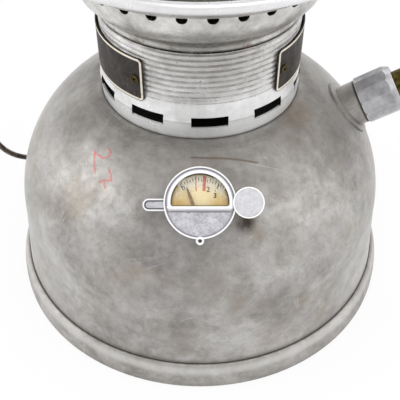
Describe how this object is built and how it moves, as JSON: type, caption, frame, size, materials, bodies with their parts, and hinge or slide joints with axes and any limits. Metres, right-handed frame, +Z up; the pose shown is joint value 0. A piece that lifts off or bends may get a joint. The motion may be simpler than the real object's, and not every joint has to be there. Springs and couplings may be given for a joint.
{
  "type": "pressure lantern",
  "caption": "Kerosene pressure lantern with a domed tank, pump, filler cap with pressure gauge, slotted collar, glass globe, burner with mantle, vented hood and wire bail.",
  "frame": {"origin": "centre of the circle on which the foot ring rests", "axes": "+Z up along the lantern's axis, -Y towards the pressure gauge, +X towards the pump"},
  "size_m": [0.1825, 0.18, 0.3961],
  "materials": {
    "spun_aluminium": "dull, stained, satin",
    "collar_aluminium": "pale, speckled, satin",
    "cap_metal": "worn, polished on the edges",
    "pump_cap_metal": "turned, worn",
    "brass": "tarnished, satin",
    "steel": "dark, worn",
    "nickel": "nickel plated, dulled",
    "plate": "dark brown lacquer, semi-gloss",
    "dial_paint": "cream lacquer, satin",
    "pointer_paint": "brown lacquer",
    "window_glass": "clear",
    "globe_glass": "clear, heat resistant",
    "rubber": "matte",
    "leather": "oiled",
    "clay": "matte, fired",
    "mantle_cloth": "matte, woven",
    "wheel_resin": "dark moulded resin"
  },
  "bodies": {
    "lantern": {"tank_shell": "spun_aluminium", "tank_bottom": "spun_aluminium", "base_ring": "spun_aluminium", "center_bush": "brass", "filler_neck": "spun_aluminium", "pump_seat": "spun_aluminium", "pump_barrel": "nickel", "pump_valve": "brass", "valve_spring": "steel", "pump_cap": "pump_cap_metal", "collar": "collar_aluminium", "plate_left": "plate", "plate_right": "plate", "plate_eyelets": "brass", "gallery_bowl": "collar_aluminium", "vaporizer_base": "brass", "packing_nut": "brass", "dip_tube": "brass", "foot_valve": "brass", "preheat_cup": "brass", "vaporizer_tube": "brass", "jet": "brass", "mixing_tube": "nickel", "burner_head": "nickel", "clay_nozzle": "clay", "mantle": "mantle_cloth", "globe": "globe_glass", "upright_front_left": "nickel", "upright_front_right": "nickel", "upright_rear_right": "nickel", "upright_rear_left": "nickel", "top_ring": "nickel", "frame_rivets": "steel", "bail_bushes": "steel", "inner_chimney": "nickel", "chimney_bridge": "steel"},
    "bail": {"bail": "steel"},
    "hood": {"hood": "nickel", "hood_cap": "nickel"},
    "hood_nut": {"hood_nut": "brass"},
    "filler_cap": {"filler_cap": "cap_metal", "cap_gasket": "rubber", "bourdon_tube": "brass", "gauge_dial": "dial_paint", "gauge_glass": "window_glass"},
    "gauge_pointer": {"gauge_pointer": "pointer_paint"},
    "vent_screw": {"vent_screw": "cap_metal"},
    "plunger": {"pump_rod": "steel", "pump_knob": "brass", "pump_leather": "leather", "piston_disc": "brass", "piston_nut": "brass"},
    "valve_pip": {"valve_pip": "rubber"},
    "regulator": {"spindle": "steel", "hand_wheel": "wheel_resin", "wheel_screw": "brass"},
    "needle": {"lift_block": "steel", "needle_rod": "steel"}
  },
  "joints": [
    {"name": "bail_swing", "type": "hinge", "parent": "lantern", "child": "bail", "pos_m": [0, 0, 0.26584], "axis": [0.7071, 0.7071, 0], "range_deg": [0, 316]},
    {"name": "hood_lift", "type": "slide", "parent": "lantern", "child": "hood", "axis": [0, 0, 1], "range_m": [0, 0.06]},
    {"name": "hood_nut_turn", "type": "hinge", "parent": "hood", "child": "hood_nut", "pos_m": [0, 0, 0.38314], "axis": [0, 0, 1], "range_deg": [0, 360]},
    {"name": "filler_cap_lift", "type": "slide", "parent": "lantern", "child": "filler_cap", "axis": [0, -0.6997, 0.7145], "range_m": [0, 0.02]},
    {"name": "gauge_pointer_turn", "type": "hinge", "parent": "filler_cap", "child": "gauge_pointer", "pos_m": [0, -0.07203, 0.0828], "axis": [0, -0.6997, 0.7145], "range_deg": [-55, 0]},
    {"name": "vent_screw_turn", "type": "hinge", "parent": "filler_cap", "child": "vent_screw", "pos_m": [0.0166, -0.06724, 0.0882], "axis": [0, -0.6997, 0.7145], "range_deg": [0, 180]},
    {"name": "pump_stroke", "type": "slide", "parent": "lantern", "child": "plunger", "axis": [0.8704, 0, 0.4924], "range_m": [0, 0.048]},
    {"name": "valve_pip_lift", "type": "slide", "parent": "lantern", "child": "valve_pip", "axis": [-0.8704, 0, -0.4924], "range_m": [0, 0.0012]},
    {"name": "regulator_turn", "type": "hinge", "parent": "lantern", "child": "regulator", "pos_m": [0, 0, 0.11304], "axis": [0.2079, 0.9781, 0], "range_deg": [0, 180]},
    {"name": "needle_lift", "type": "slide", "parent": "lantern", "child": "needle", "axis": [0, 0, 1], "range_m": [0, 0.0021]}
  ],
  "couplings": [
    {"joint": "needle_lift", "follows": "regulator_turn", "m_per_rad": 0.00063662}
  ]
}
